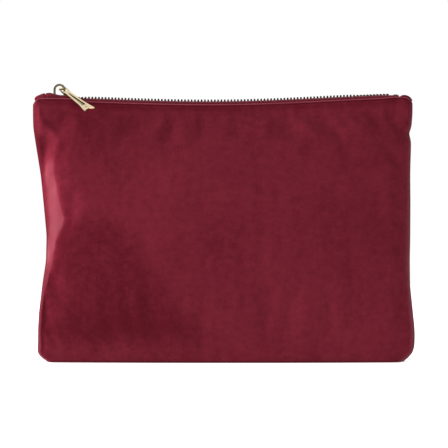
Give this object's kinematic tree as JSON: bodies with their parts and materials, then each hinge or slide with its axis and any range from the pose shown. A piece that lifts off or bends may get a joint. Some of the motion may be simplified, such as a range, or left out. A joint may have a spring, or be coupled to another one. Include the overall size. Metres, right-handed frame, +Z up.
{
  "type": "makeup bag",
  "caption": "Flat velvet zip pouch with a satin lining, a metal zip along the top and a fishtail puller.",
  "frame": {"origin": "middle of the flattened base, on the surface that the bag stands on", "axes": "+Z up from the base to the zip, X along the zip with the shut slider at -X, the front panel towards -Y"},
  "size_m": [0.2938, 0.046, 0.2129],
  "materials": {
    "velvet": "burgundy velvet, short soft pile",
    "lining": "burgundy polyester satin",
    "zip_tape": "burgundy woven herringbone tape",
    "thread": "burgundy polyester thread",
    "zip_teeth": "antique brass, dark",
    "gold_metal": "polished pale gold plating"
  },
  "bodies": {
    "front_half": {"front_shell": "velvet", "front_lining": "lining", "shell_seam": "velvet", "lining_seam": "lining", "front_tape": "zip_tape", "front_teeth": "zip_teeth", "front_top_stop": "zip_teeth", "bottom_stop": "zip_teeth", "front_tape_stitching": "thread", "left_end_tab": "velvet", "right_end_tab": "velvet"},
    "back_half": {"back_shell": "velvet", "back_lining": "lining", "back_tape": "zip_tape", "back_teeth": "zip_teeth", "back_top_stop": "zip_teeth", "back_tape_stitching": "thread"},
    "slider": {"slider_body": "gold_metal", "slider_bail": "gold_metal"},
    "puller": {"puller": "gold_metal"}
  },
  "joints": [
    {"name": "slider_travel", "type": "slide", "parent": "front_half", "child": "slider", "axis": [1, 0, 0.0084], "range_m": [0, 0.249], "deforming": ["front_tape", "back_tape", "front_teeth", "back_teeth"]},
    {"name": "mouth_open", "type": "hinge", "parent": "front_half", "child": "back_half", "pos_m": [0, 0.0135, 0.0017], "axis": [-1, 0, 0], "range_deg": [0, 10]},
    {"name": "puller_flip", "type": "hinge", "parent": "slider", "child": "puller", "pos_m": [-0.1262, 0, 0.20882], "axis": [0, -1, 0], "range_deg": [0, 200]}
  ],
  "couplings": [
    {"joint": "mouth_open", "follows": "slider_travel", "rad_per_m": 0.7}
  ]
}
